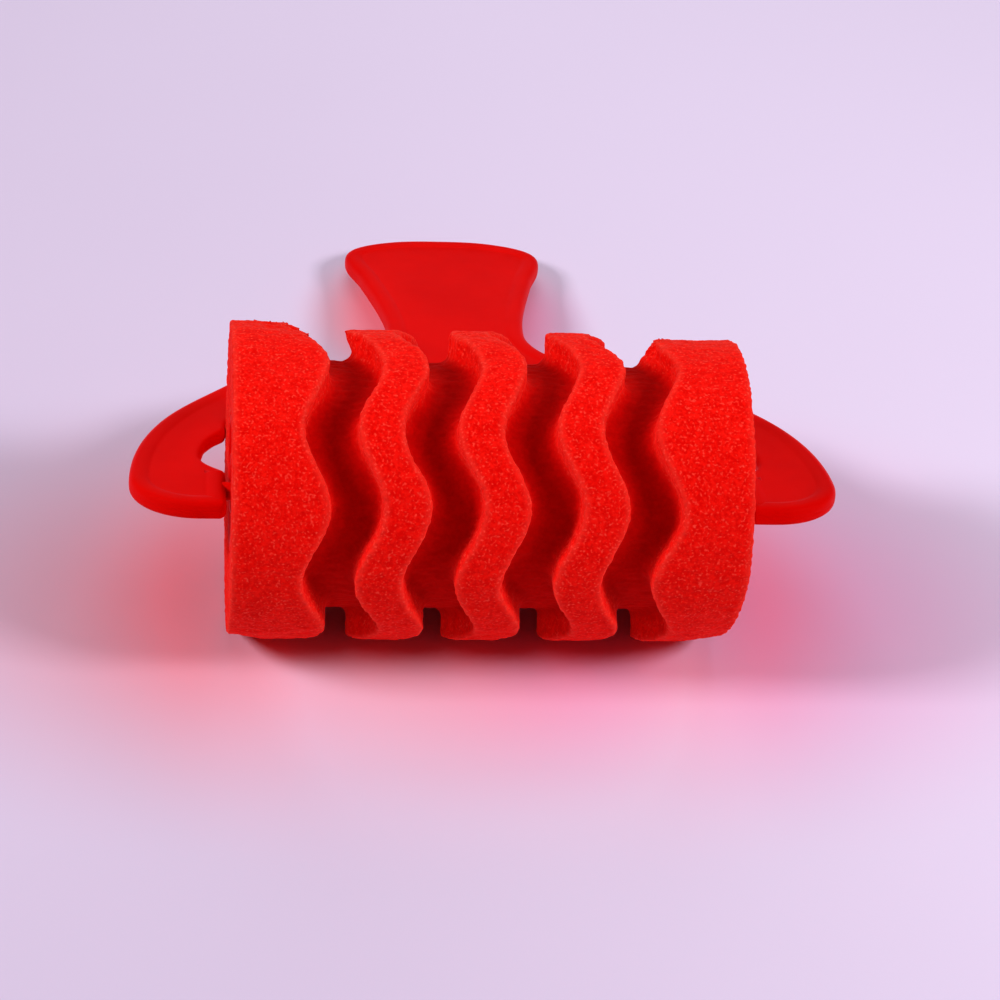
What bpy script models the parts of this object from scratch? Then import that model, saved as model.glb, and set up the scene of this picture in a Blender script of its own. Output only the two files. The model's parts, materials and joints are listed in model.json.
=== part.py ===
"""Pattern foam roller for paint: a wavy foam sleeve on a rigid core, turning on the stub pins of a
one-piece moulded handle.

Units are metres and +Z is up. The roller's axis runs along X and the grip points along +Y. The tool
stands on the foam sleeve and on the far end of its grip, as it does when it is put down on a table.
"""

import math

import bmesh
import bpy
import mathutils
import numpy as np

# Foam sleeve: a tube of open-cell foam with wavy grooves cut all the way round.
FOAM_LENGTH = 0.0790
FOAM_RADIUS = 0.0245
GROOVE_DEPTH = 0.0051
GROOVE_WIDTH = 0.0078
RIDGE_WIDTH = 0.0074
WAVE_HEIGHT = 0.0020
GROOVE_FILLET = 0.0018
RIDGE_EDGE_ROUND = 0.0007
GROOVE_COUNT = 4
WAVE_COUNT = 6
WAVE_START_DEG = 28.0

# Core tube and the bushes that close its ends.
CORE_RADIUS = 0.0110
CORE_WALL = 0.0016
BUSH_LENGTH = 0.0100
BUSH_FLANGE = 0.0014
BUSH_CHAMFER = 0.0005
SEAT_GAP = 0.0003

# Running fit of the handle's pins in the bushes, and of the sleeve between the arms.
PIN_RADIUS = 0.0015
PIN_LENGTH = 0.0080
PIN_CHAMFER = 0.0004
PIN_ROOT = 0.0012
PIN_DROP = 0.0017
SIDE_GAP = 0.0017
ROLLER_SHIFT_SHARE = 0.67

# Handle: a flat moulding with a raised rim on both faces, from the tabs to the end of the grip.
ARM_BREADTH = 0.01525
FRONT_REACH = 0.0075
REAR_GAP = 0.0040
CROSSBAR_DEPTH = 0.0190
NECK_RISE = 0.0150
NECK_HALF_WIDTH = 0.0119
GRIP_HALF_WIDTH = 0.0178
GRIP_LENGTH = 0.0431
RIM_THICKNESS = 0.0033
WEB_THICKNESS = 0.0026
RIM_WIDTH = 0.0019
RIM_SLOPE = 0.0007
EDGE_ROUND = 0.0009
TAB_CORNER = 0.0013
TAB_BACK_REACH = 0.0040
SLOT_END = 0.0038

# Places along the handle's outline, as shares of the sizes that they follow, each with the heading
# in degrees that the outline has there. Grip rows: share of the half width, share of the length.
GRIP_SHARES = ((0.518, 0.979, -16.4), (1.0, 0.803, -90.0), (0.872, 0.581, -101.6))
# Shoulder rows: share of the tab's place across, share of the rise from the shoulder to the neck.
SHOULDER_SHARES = ((0.400, 0.290, -45.0), (0.608, -0.03, -24.0))
# Arm rows: share of the tab's place across, share of the arm's breadth, share of the shoulder's place.
ARM_SHARES = ((0.962, 0.055, 0.815, -52.0), (1.0, 0.566, 0.562, -58.0), (1.0, 1.0, 0.054, -90.0))
# Slot rows: share of the slot's end beyond the tab, share of the window's place.
SLOT_SHARES = (
    (0.24, 0.213, 41.0),
    (1.00, 0.365, 88.0),
    (0.97, 0.445, 101.0),
    (0.72, 0.575, 120.0),
    (0.27, 0.668, 133.0),
    (-0.02, 0.712, 121.0),
    (-0.06, 0.775, 91.0),
)
WINDOW_CORNER_SHARES = (0.862, 0.948, 170.0)
FRONT_CORNER_SHARE = 0.289

# A point of a moved outline stays where it is when it keeps this share of its distance.
KEPT_SHARE = 0.96

# How finely curved shapes are cut into flat faces.
ROUND_SIDES = 40
STEPS_PER_WAVE = 12
OUTLINE_STEPS = 6

RED_PLASTIC = (0.78, 0.012, 0.010)
RED_FOAM = (0.88, 0.040, 0.022)
WHITE_PLASTIC = (0.80, 0.78, 0.74)


def clear_scene():
    """Removes every object that the scene starts with."""
    for found in list(bpy.data.objects):
        bpy.data.objects.remove(found, do_unlink=True)


def material(name, colour, roughness):
    """A plain Principled material: all of the object's surfaces are non-metallic."""
    made = bpy.data.materials.new(name)
    made.use_nodes = True
    shader = made.node_tree.nodes["Principled BSDF"]
    shader.inputs["Base Color"].default_value = (*colour, 1.0)
    shader.inputs["Roughness"].default_value = roughness
    shader.inputs["Metallic"].default_value = 0.0
    return made


def add_object(name, points, faces, surface, parent=None):
    """An object from points and faces, with doubled points merged and its faces turned outwards."""
    mesh = bpy.data.meshes.new(name)
    mesh.from_pydata([tuple(point) for point in points], [], faces)
    work = bmesh.new()
    work.from_mesh(mesh)
    bmesh.ops.remove_doubles(work, verts=work.verts, dist=SEAT_GAP * 1e-3)
    bmesh.ops.recalc_face_normals(work, faces=work.faces)
    work.to_mesh(mesh)
    work.free()
    mesh.materials.append(surface)
    mesh.shade_smooth()
    mesh.set_sharp_from_angle(angle=math.radians(30.0))
    made = bpy.data.objects.new(name, mesh)
    bpy.context.scene.collection.objects.link(made)
    made.parent = parent
    return made


def ring_faces(rows, columns):
    """Quads between neighbouring rows of a grid that closes on itself both ways."""
    faces = []
    for row in range(rows):
        for column in range(columns):
            after_row = (row + 1) % rows
            after_column = (column + 1) % columns
            faces.append(
                (
                    row * columns + column,
                    row * columns + after_column,
                    after_row * columns + after_column,
                    after_row * columns + column,
                )
            )
    return faces


def turned(name, profile, surface, parent, sides=ROUND_SIDES):
    """A closed profile of (place along X, radius) turned about the X axis."""
    points = []
    for step in range(sides):
        angle = 2.0 * math.pi * step / sides
        for along, radius in profile:
            points.append((along, radius * math.cos(angle), radius * math.sin(angle)))
    return add_object(name, points, ring_faces(sides, len(profile)), surface, parent)


def foam_profile(shift):
    """The sleeve's section along X where its waves stand at this shift: ends, ridges and grooves."""
    half = FOAM_LENGTH / 2.0
    floor = FOAM_RADIUS - GROOVE_DEPTH
    pitch = GROOVE_WIDTH + RIDGE_WIDTH
    bore = CORE_RADIUS + SEAT_GAP
    section = [
        (-half, bore),
        (-half, FOAM_RADIUS - RIDGE_EDGE_ROUND),
        (-half + RIDGE_EDGE_ROUND, FOAM_RADIUS),
    ]
    for groove in range(GROOVE_COUNT):
        middle = (groove - (GROOVE_COUNT - 1) / 2.0) * pitch + shift
        left = middle - GROOVE_WIDTH / 2.0
        right = middle + GROOVE_WIDTH / 2.0
        section += [
            (left - RIDGE_EDGE_ROUND, FOAM_RADIUS),
            (left, FOAM_RADIUS - RIDGE_EDGE_ROUND),
            (left, floor + GROOVE_FILLET),
            (left + GROOVE_FILLET, floor),
            (right - GROOVE_FILLET, floor),
            (right, floor + GROOVE_FILLET),
            (right, FOAM_RADIUS - RIDGE_EDGE_ROUND),
            (right + RIDGE_EDGE_ROUND, FOAM_RADIUS),
        ]
    section += [
        (half - RIDGE_EDGE_ROUND, FOAM_RADIUS),
        (half, FOAM_RADIUS - RIDGE_EDGE_ROUND),
        (half, bore),
    ]
    return section


def foam_sleeve(surface, parent):
    """The sleeve: its section goes round the axis while the grooves swing from side to side.

    The angle is counted up from the front, so the grooves lie furthest to +X at WAVE_START_DEG.
    """
    steps = WAVE_COUNT * STEPS_PER_WAVE
    start = math.radians(WAVE_START_DEG)
    points = []
    for step in range(steps):
        angle = start + 2.0 * math.pi * step / steps
        shift = WAVE_HEIGHT * math.cos(WAVE_COUNT * (angle - start))
        for along, radius in foam_profile(shift):
            points.append((along, -radius * math.cos(angle), radius * math.sin(angle)))
    columns = len(points) // steps
    return add_object("foam_sleeve", points, ring_faces(steps, columns), surface, parent)


def core_half_length():
    """Half the core's length: the bush's flange fills the rest, up to the recess in the sleeve."""
    return FOAM_LENGTH / 2.0 - BUSH_FLANGE - SEAT_GAP


def core_tube(surface, parent):
    """The rigid tube that the sleeve is glued on."""
    half = core_half_length()
    inner = CORE_RADIUS - CORE_WALL
    profile = [(-half, inner), (-half, CORE_RADIUS), (half, CORE_RADIUS), (half, inner)]
    return turned("core_tube", profile, surface, parent)


def end_bush(name, side, surface, parent):
    """A flanged bush in one end of the core, with the wide hole that a pin of the handle turns in."""
    inner = CORE_RADIUS - CORE_WALL - SEAT_GAP
    hole = PIN_RADIUS + PIN_DROP + SEAT_GAP
    face = FOAM_LENGTH / 2.0
    shoulder = face - BUSH_FLANGE
    profile = [
        (face - BUSH_LENGTH, hole),
        (face - BUSH_LENGTH, inner - BUSH_CHAMFER),
        (face - BUSH_LENGTH + BUSH_CHAMFER, inner),
        (shoulder, inner),
        (shoulder, CORE_RADIUS),
        (face - BUSH_CHAMFER, CORE_RADIUS),
        (face, CORE_RADIUS - BUSH_CHAMFER),
        (face, hole + BUSH_CHAMFER),
        (face - BUSH_CHAMFER, hole),
    ]
    return turned(name, [(side * along, radius) for along, radius in profile], surface, parent)


def half_outline_nodes():
    """The right half of the handle's outline, from the grip's end round the arm to the window's middle.

    Each row holds the place across, the place back from the pins, and the outline's heading there.
    """
    tab = FOAM_LENGTH / 2.0 + SIDE_GAP
    window = FOAM_RADIUS + REAR_GAP
    shoulder = window + CROSSBAR_DEPTH
    neck = shoulder + NECK_RISE
    nodes = [(0.0, neck + GRIP_LENGTH, 0.0)]
    nodes += [
        (across * GRIP_HALF_WIDTH, neck + along * GRIP_LENGTH, heading)
        for across, along, heading in GRIP_SHARES
    ]
    nodes.append((NECK_HALF_WIDTH, neck, -90.0))
    nodes += [
        (across * tab, shoulder + along * NECK_RISE, heading)
        for across, along, heading in SHOULDER_SHARES
    ]
    nodes += [
        (across * tab + breadth * ARM_BREADTH, along * shoulder, heading)
        for across, breadth, along, heading in ARM_SHARES
    ]
    nodes += [
        (tab + FRONT_CORNER_SHARE * ARM_BREADTH, -FRONT_REACH, -180.0),
        (tab + TAB_CORNER, -FRONT_REACH, -180.0),
        (tab, -FRONT_REACH + TAB_CORNER, -270.0),
        (tab, TAB_BACK_REACH, 90.0),
    ]
    nodes += [(tab + beyond * SLOT_END, along * window, heading) for beyond, along, heading in SLOT_SHARES]
    across, along, heading = WINDOW_CORNER_SHARES
    nodes.append((across * tab, along * window, heading))
    nodes.append((0.0, window, 180.0))
    return nodes


def curve_between(first, second, steps):
    """Points of one cubic curve between two rows, its handles as long as a circular arc would need."""
    start = np.array(first[:2])
    end = np.array(second[:2])
    begin_heading, end_heading = math.radians(first[2]), math.radians(second[2])
    turn = math.remainder(end_heading - begin_heading, 2.0 * math.pi)
    chord = np.linalg.norm(end - start)
    if abs(turn) > math.radians(1.0):
        handle = 4.0 / 3.0 * math.tan(abs(turn) / 4.0) * chord / (2.0 * math.sin(abs(turn) / 2.0))
    else:
        handle = chord / 3.0
    after = start + handle * np.array([math.cos(begin_heading), math.sin(begin_heading)])
    before = end - handle * np.array([math.cos(end_heading), math.sin(end_heading)])
    t = (np.arange(steps) / steps)[:, None]
    return (1 - t) ** 3 * start + 3 * (1 - t) ** 2 * t * after + 3 * (1 - t) * t**2 * before + t**3 * end


def handle_outline():
    """The closed outline, and for each point how much of the rim stands there.

    The rim is whole on the outer edge and fades to nothing at the window.
    """
    nodes = half_outline_nodes()
    fading_row = len(nodes) - 3 - len(SLOT_SHARES)
    half = []
    rim = []
    for row, (first, second) in enumerate(zip(nodes, nodes[1:])):
        straight = abs(first[2] - second[2]) % 360.0 < 1.0
        steps = OUTLINE_STEPS // 2 if straight else OUTLINE_STEPS
        half.append(curve_between(first, second, steps))
        if row < fading_row:
            rim.append(np.ones(steps))
        elif row == fading_row:
            rim.append(0.5 + 0.5 * np.cos(math.pi * np.arange(steps) / steps))
        else:
            rim.append(np.zeros(steps))
    half = np.concatenate(half + [np.array([nodes[-1][:2]])])
    rim = np.concatenate(rim + [np.zeros(1)])
    mirrored = half[-2:0:-1] * np.array([-1.0, 1.0])
    return np.concatenate([half, mirrored]), np.concatenate([rim, rim[-2:0:-1]])


def distance_to(points, outline):
    """The distance from each point to the closed outline."""
    start = outline[None, :, :]
    along = np.roll(outline, -1, axis=0)[None, :, :] - start
    offset = points[:, None, :] - start
    share = np.clip((offset * along).sum(-1) / (along * along).sum(-1), 0.0, 1.0)
    return np.linalg.norm(offset - share[..., None] * along, axis=-1).min(axis=1)


def inward(outline, distance):
    """The outline moved inwards by a distance for each of its points.

    Points that a corner leaves no room for meet where the corner's two sides cross.
    """
    ahead = np.roll(outline, -1, axis=0) - np.roll(outline, 1, axis=0)
    ahead /= np.linalg.norm(ahead, axis=1)[:, None]
    moved = outline + distance[:, None] * np.stack([ahead[:, 1], -ahead[:, 0]], axis=1)
    kept = distance_to(moved, outline) > KEPT_SHARE * distance
    count = len(outline)
    first = int(np.argmax(kept))
    place = first
    while place < first + count:
        if kept[place % count]:
            place += 1
            continue
        end = place
        while not kept[end % count]:
            end += 1
        left, right = (place - 1) % count, end % count
        sides = np.stack([ahead[left], -ahead[right]], axis=1)
        reach = np.linalg.solve(sides, moved[right] - moved[left])[0]
        corner = moved[left] + reach * ahead[left]
        for inside in range(place, end):
            moved[inside % count] = corner
        place = end
    return moved


def handle_loops():
    """Closed loops over the handle's edge, from the web's upper face round the rim to its lower face."""
    outline, rim = handle_outline()
    crest = WEB_THICKNESS / 2.0 + rim * (RIM_THICKNESS - WEB_THICKNESS) / 2.0
    web = np.full(len(outline), WEB_THICKNESS / 2.0)
    edge = np.full(len(outline), EDGE_ROUND)
    eased_share = 1.0 - math.sqrt(0.5)
    upper = [
        (inward(outline, edge + rim * (RIM_WIDTH + RIM_SLOPE - EDGE_ROUND)), web),
        (inward(outline, edge + rim * (RIM_WIDTH - EDGE_ROUND)), crest),
        (inward(outline, edge), crest),
        (inward(outline, edge * eased_share), crest - edge * eased_share),
        (outline, crest - edge),
    ]
    lower = [(loop, -height) for loop, height in reversed(upper)]
    return [np.column_stack([loop, height]) for loop, height in upper + lower]


def stub_pin(side, frame):
    """One pin that the handle carries on the inner end of a tab, as a guide for a union."""
    tab = FOAM_LENGTH / 2.0 + SIDE_GAP
    root = tab + PIN_ROOT
    tip = tab - PIN_LENGTH
    profile = [
        (root, 0.0),
        (root, PIN_RADIUS),
        (tip + PIN_CHAMFER, PIN_RADIUS),
        (tip, PIN_RADIUS - PIN_CHAMFER),
        (tip, 0.0),
    ]
    pin = turned(
        "pin_right" if side > 0 else "pin_left",
        [(side * along, radius) for along, radius in profile],
        frame.data.materials[0],
        frame,
        ROUND_SIDES // 2,
    )
    pin.hide_render = True
    pin.display_type = "WIRE"
    return pin


def handle_slope():
    """How far the handle tips down, so that the lower edge of its grip's end just meets the table."""
    window = FOAM_RADIUS + REAR_GAP
    reach = window + CROSSBAR_DEPTH + NECK_RISE + GRIP_LENGTH - EDGE_ROUND
    drop = RIM_THICKNESS / 2.0
    return math.asin((FOAM_RADIUS - PIN_DROP) / math.hypot(reach, drop)) - math.atan2(drop, reach)


def web_face(loop):
    """The flat face inside a closed loop, cut into triangles: its points and its faces."""
    apart = np.linalg.norm(loop - np.roll(loop, 1, axis=0), axis=1) > SEAT_GAP * 1e-3
    ring = loop[apart]
    count = len(ring)
    flat = [mathutils.Vector(point[:2]) for point in ring]
    edges = [(step, (step + 1) % count) for step in range(count)]
    found = mathutils.geometry.delaunay_2d_cdt(flat, edges, [], 1, SEAT_GAP * 1e-3)
    points = [(point[0], point[1], ring[0][2]) for point in found[0]]
    return points, [tuple(face) for face in found[2]]


def handle_frame(surface, place):
    """The moulding: a web inside a rim, tipped down towards the grip's end, with its two pins."""
    loops = handle_loops()
    count = len(loops[0])
    points = [tuple(point) for point in np.concatenate(loops)]
    faces = []
    for row in range(len(loops) - 1):
        for column in range(count):
            after = (column + 1) % count
            here, above = row * count, (row + 1) * count
            faces.append((here + column, here + after, above + after, above + column))
    for loop in (loops[0], loops[-1]):
        web_points, web_faces = web_face(loop)
        faces += [tuple(corner + len(points) for corner in face) for face in web_faces]
        points += web_points
    frame = add_object("handle_frame", points, faces, surface)
    frame.location = place
    frame.rotation_euler = (-handle_slope(), 0.0, 0.0)
    for side in (-1, 1):
        union = frame.modifiers.new("pin", "BOOLEAN")
        union.operation = "UNION"
        union.solver = "EXACT"
        union.object = stub_pin(side, frame)
    return frame


def main():
    clear_scene()
    plastic = material("red_plastic", RED_PLASTIC, 0.35)
    foam = material("red_foam", RED_FOAM, 0.95)
    tube = material("white_plastic", WHITE_PLASTIC, 0.45)
    slope = handle_slope()
    window = FOAM_RADIUS + REAR_GAP
    grip_end = window + CROSSBAR_DEPTH + NECK_RISE + GRIP_LENGTH
    back = grip_end * math.cos(slope) + (RIM_THICKNESS / 2.0 - EDGE_ROUND) * math.sin(slope)
    # The origin lies under the middle of the whole object, on the table.
    axis_y = (FOAM_RADIUS - back) / 2.0
    handle_frame(plastic, (0.0, axis_y, FOAM_RADIUS - PIN_DROP))
    axis = bpy.data.objects.new("roller_axis", None)
    bpy.context.scene.collection.objects.link(axis)
    axis.location = (-SIDE_GAP * ROLLER_SHIFT_SHARE, axis_y, FOAM_RADIUS)
    foam_sleeve(foam, axis)
    core_tube(tube, axis)
    end_bush("end_bush_left", -1, plastic, axis)
    end_bush("end_bush_right", 1, plastic, axis)


main()
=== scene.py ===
"""Pattern foam roller for paint, dressed for its picture.

Lengths are in metres. +X runs along the roller's axis, +Y points to the end of the grip and +Z is up.
"""

import json
import math

import bmesh
import bpy
import numpy as np
from mathutils import Matrix, Vector, geometry


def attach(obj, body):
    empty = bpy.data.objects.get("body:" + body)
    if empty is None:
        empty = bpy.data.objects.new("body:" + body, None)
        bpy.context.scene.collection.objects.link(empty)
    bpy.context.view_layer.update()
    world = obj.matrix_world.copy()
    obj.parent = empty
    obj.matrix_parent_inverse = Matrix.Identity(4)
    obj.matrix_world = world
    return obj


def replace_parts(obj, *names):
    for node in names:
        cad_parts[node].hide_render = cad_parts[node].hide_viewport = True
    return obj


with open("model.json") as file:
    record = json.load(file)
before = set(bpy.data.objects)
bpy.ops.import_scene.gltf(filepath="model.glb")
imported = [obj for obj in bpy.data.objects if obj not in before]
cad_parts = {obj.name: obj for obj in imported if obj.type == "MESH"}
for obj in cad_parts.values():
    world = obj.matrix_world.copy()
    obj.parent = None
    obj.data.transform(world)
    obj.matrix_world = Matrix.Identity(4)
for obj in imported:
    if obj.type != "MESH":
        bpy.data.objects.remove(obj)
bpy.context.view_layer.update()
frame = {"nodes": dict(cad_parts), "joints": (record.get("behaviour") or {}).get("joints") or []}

# Where the roller's axis lies. The solid model's own joint says so.
AXLE = np.array(frame["joints"][0]["pos_m"])

# Camera
# It stands over the foam, 54 cm from the middle of the roller and slightly to the left of it, and it is
# held a little crooked, so the tool runs down to the right in the picture. It aims at a point of the
# roller's axis half a millimetre left of the middle.
CAMERA_REACH = 0.5414
CAMERA_HEIGHT_DEG = 37.0
CAMERA_LEFT_DEG = 7.03
CAMERA_ROLL_DEG = 4.93
FOCAL_PIXELS = 3424.0
PICTURE_PIXELS = 1000.0
AIM_PIXEL = (477.2, 485.7)
AIM_POINT = AXLE - np.array([0.0005, 0.0, 0.0])
SENSOR_MM = 36.0
NEAREST_SEEN = 0.01


def camera_axes():
    """Right, up and backward of the camera.

    A level camera that looks at the aim point is rolled about its view, and then turned until the aim
    point falls on its own pixel: each turn mixes two of the three axes by the sine and cosine.
    """
    height, left, roll = np.radians([CAMERA_HEIGHT_DEG, CAMERA_LEFT_DEG, CAMERA_ROLL_DEG])
    ahead = np.array([math.sin(left), math.cos(left), 0.0])
    forward = math.cos(height) * ahead - math.sin(height) * np.array([0.0, 0.0, 1.0])
    level = np.array([math.cos(left), -math.sin(left), 0.0])
    upright = np.cross(level, forward)
    right = math.cos(roll) * level + math.sin(roll) * upright
    up = math.cos(roll) * upright - math.sin(roll) * level
    eye = AIM_POINT - CAMERA_REACH * forward
    aside = math.atan((AIM_PIXEL[0] - PICTURE_PIXELS / 2.0) / FOCAL_PIXELS)
    above = math.atan((PICTURE_PIXELS / 2.0 - AIM_PIXEL[1]) / FOCAL_PIXELS)
    turned_forward = math.cos(aside) * forward - math.sin(aside) * right
    right = math.cos(aside) * right + math.sin(aside) * forward
    forward = math.cos(above) * turned_forward - math.sin(above) * up
    up = math.cos(above) * up + math.sin(above) * turned_forward
    return eye, right, up, -forward


eye, camera_right, camera_up, camera_back = camera_axes()
camera_data = bpy.data.cameras.new("camera")
camera_data.sensor_width = SENSOR_MM
camera_data.lens = FOCAL_PIXELS / PICTURE_PIXELS * SENSOR_MM
camera_data.clip_start = NEAREST_SEEN
camera = bpy.data.objects.new("camera", camera_data)
camera_place = np.column_stack([camera_right, camera_up, camera_back, eye])
camera.matrix_world = Matrix([*camera_place.tolist(), [0.0, 0.0, 0.0, 1.0]])
bpy.context.scene.collection.objects.link(camera)
bpy.context.scene.camera = camera
bpy.context.scene.view_settings.view_transform = "Standard"


# Table
# A plain pale board with painted light on it. A painted falloff of light makes it a little deeper to the
# left. Along the roller and beside the neck it holds a painted soft red glow, an emission: it stands for
# the light which the red tool throws on it, stronger than the red of a screen can show. A painted pink
# shade lies past the roller's ends, in front of it and round the neck.
TABLE_SIZE = 4.0
TABLE_PALE = (0.875, 0.735, 0.980)
TABLE_DEEP = (0.680, 0.555, 0.755)
TONE_HALF_WIDTH = 0.16
TONE_SLANT = 0.4
CLOUD_SHIFT = 0.05
FOAM_HALF_LENGTH = 0.0395
# Strength and straight stretch of the painted red glow.
GLOW = 0.24
GLOW_HALF_STRAIGHT = 0.030
# Colours of the painted shade, left and right of the middle.
SHADE_LEFT = (1.0, 0.50, 0.49)
SHADE_RIGHT = (1.0, 0.55, 0.72)
SIDE_HALF_WIDTH = 0.02
NECK_BACK = 0.042
NECK_SHADE = 0.9
END_RISE = (0.014, 0.050)

# Strengths to the left and to the right of the tool's middle.
NECK_GLOW = (0.24, 0.08)
FOAM_SHADE = (0.42, 0.88)

# Ovals on the table. Each row: half widths along X and Y, and the two shares of them between which a
# field fades from 1 to 0.
GLOW_OVAL = ((0.038, 0.068), (0.05, 1.0))
BARE_OVAL = ((0.002, 0.004), (1.0, 6.0))
END_OVAL = ((0.075, 0.062), (0.05, 1.0))
NECK_OVAL = ((0.028, 0.026), (0.5, 1.05))
FOAM_OVAL = ((0.060, 0.055), (0.3, 1.0))


class Signal:
    """A shader socket that works as a number: each sign adds the Math node that works it out."""

    def __init__(self, tree, socket=None):
        self.tree = tree
        self.socket = socket

    def node(self, kind, settings=None, values=None, output=0):
        """A new node: its settings first, then the values or links of its sockets."""
        made = self.tree.nodes.new(kind)
        for name, setting in (settings or {}).items():
            setattr(made, name, setting)
        for name, value in (values or {}).items():
            if isinstance(value, Signal):
                self.tree.links.new(value.socket, made.inputs[name])
            else:
                made.inputs[name].default_value = value
        return Signal(self.tree, made.outputs[output])

    def maths(self, operation, *others):
        """A Math node with this signal in its first socket and the others in the next."""
        return self.node("ShaderNodeMath", {"operation": operation}, dict(enumerate((self, *others))))

    def __add__(self, other):
        return self.maths("ADD", other)

    __radd__ = __add__

    def __sub__(self, other):
        return self.maths("SUBTRACT", other)

    def __rsub__(self, other):
        return self.node("ShaderNodeMath", {"operation": "SUBTRACT"}, {0: other, 1: self})

    def __mul__(self, other):
        return self.maths("MULTIPLY", other)

    __rmul__ = __mul__

    def between(self, low, high):
        """0 at low, 1 at high, and a smooth step from one to the other."""
        ranged = {"interpolation_type": "SMOOTHSTEP"}
        values = {"Value": self, "From Min": low, "From Max": high, "To Min": 0.0, "To Max": 1.0}
        return self.node("ShaderNodeMapRange", ranged, values)

    def tint(self, low, high, blend="MIX"):
        """The colour low where the signal is 0, and high where it is 1. Each is a colour or a signal.

        A Mix node's factor is its socket 0, and its colours are its sockets 6 and 7.
        """
        ends = [end if isinstance(end, Signal) else (*end, 1.0) for end in (low, high)]
        settings = {"data_type": "RGBA", "blend_type": blend}
        return self.node("ShaderNodeMix", settings, {0: self, 6: ends[0], 7: ends[1]}, output=2)

    def noise(self, scale, detail, **sockets):
        """A noise over this place, its grains about a metre divided by the scale wide."""
        values = {"Vector": self, "Scale": scale, "Detail": detail, **sockets}
        return self.node("ShaderNodeTexNoise", None, values)


def finish_of(name, colour, roughness, **constants):
    """A Principled material with its constants, and a signal to build the rest of its nodes from.

    Spaces in a socket's name are written as underscores.
    """
    made = bpy.data.materials.new(name)
    made.use_nodes = True
    shader = made.node_tree.nodes["Principled BSDF"]
    shader.inputs["Base Color"].default_value = (*colour, 1.0)
    shader.inputs["Roughness"].default_value = roughness
    for socket, value in constants.items():
        shader.inputs[socket.replace("_", " ")].default_value = value
    return made, shader, Signal(made.node_tree)


def wire(start, shader, **sockets):
    """Links signals to the shader's sockets. Spaces in a socket's name are written as underscores."""
    for name, signal in sockets.items():
        start.tree.links.new(signal.socket, shader.inputs[name.replace("_", " ")])


def oval_field(along, back, oval):
    """1 in the middle of an oval, and a smooth step down to 0 between two shares of its half widths.

    The share at a place is the length of the hypotenuse over its shares along X and Y.
    """
    (half_length, half_width), (begin, end) = oval
    first, second = along * (1.0 / half_length), back * (1.0 / half_width)
    return 1.0 - (first * first + second * second).maths("SQRT").between(begin, end)


def side_mix(to_right, pair):
    """The first of two strengths to the left of the middle, and the second to the right."""
    return pair[0] + (pair[1] - pair[0]) * to_right


def table_finish():
    """The table's material, all of it by the place on the table.

    A painted falloff of light steps smoothly from deep to pale across the middle. The painted shade
    multiplies a pink colour into it by the strongest of three fields: past the roller's ends, round the
    neck, and along the foam. The painted glow, a red emission, fades away from the roller and leaves out
    the strip right under it, and a second one lies at the neck.
    """
    finish, shader, start = finish_of(
        "table", TABLE_PALE, 0.75, Specular_IOR_Level=0.3, Emission_Strength=1.0
    )
    place = start.node("ShaderNodeTexCoord", output="Object")
    along = start.node("ShaderNodeSeparateXYZ", None, {0: place}, output="X")
    back = start.node("ShaderNodeSeparateXYZ", None, {0: place}, output="Y")
    # Painted falloff of light: the board is painted from deep on the left to pale on the right, slanting
    # back and a little cloudy.
    across = along + back * TONE_SLANT + (place.noise(9.0, 2.0) - 0.5) * CLOUD_SHIFT
    painted_falloff = across.between(-TONE_HALF_WIDTH, TONE_HALF_WIDTH).tint(TABLE_DEEP, TABLE_PALE)
    to_right = along.between(-SIDE_HALF_WIDTH, SIDE_HALF_WIDTH)
    aside = (along - float(AXLE[0])).maths("ABSOLUTE")
    away = (back - float(AXLE[1])).maths("ABSOLUTE")
    past_foam = (aside - FOAM_HALF_LENGTH).maths("MAXIMUM", 0.0)
    past_straight = (aside - GLOW_HALF_STRAIGHT).maths("MAXIMUM", 0.0)
    # Painted shade: a pink colour multiplied into the board past the roller's ends, round the neck and
    # along the foam, where the tool shades it.
    near_end = oval_field(past_foam, away, END_OVAL) * aside.between(*END_RISE)
    near_neck = oval_field(along, back - NECK_BACK, NECK_OVAL)
    near_foam = oval_field(aside, away, FOAM_OVAL) * side_mix(to_right, FOAM_SHADE)
    shade = near_end.maths("MAXIMUM", near_neck * NECK_SHADE).maths("MAXIMUM", near_foam)
    painted_shade_hue = to_right.tint(SHADE_LEFT, SHADE_RIGHT)
    shaded = shade.tint(painted_falloff, painted_shade_hue, blend="MULTIPLY")
    bare = oval_field(past_foam, away, BARE_OVAL)
    # Painted glow: a red emission in the board that stands for the light the red tool throws on it.
    glow = GLOW * (1.0 - bare) * oval_field(past_straight, away, GLOW_OVAL)
    glow = glow + near_neck * near_neck * side_mix(to_right, NECK_GLOW)
    # The painted glow's colour, red only.
    red = start.node("ShaderNodeCombineColor", None, {0: glow, 1: 0.0, 2: 0.0})
    wire(start, shader, Base_Color=shaded, Emission_Color=red)
    return finish


def table():
    """A square board, its middle under the tool and its face at the height of the floor."""
    half = TABLE_SIZE / 2.0
    corners = [(-half, -half, 0.0), (half, -half, 0.0), (half, half, 0.0), (-half, half, 0.0)]
    mesh = bpy.data.meshes.new("table")
    mesh.from_pydata(corners, [], [(0, 1, 2, 3)])
    mesh.materials.append(table_finish())
    board = bpy.data.objects.new("table", mesh)
    bpy.context.scene.collection.objects.link(board)


table()


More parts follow.
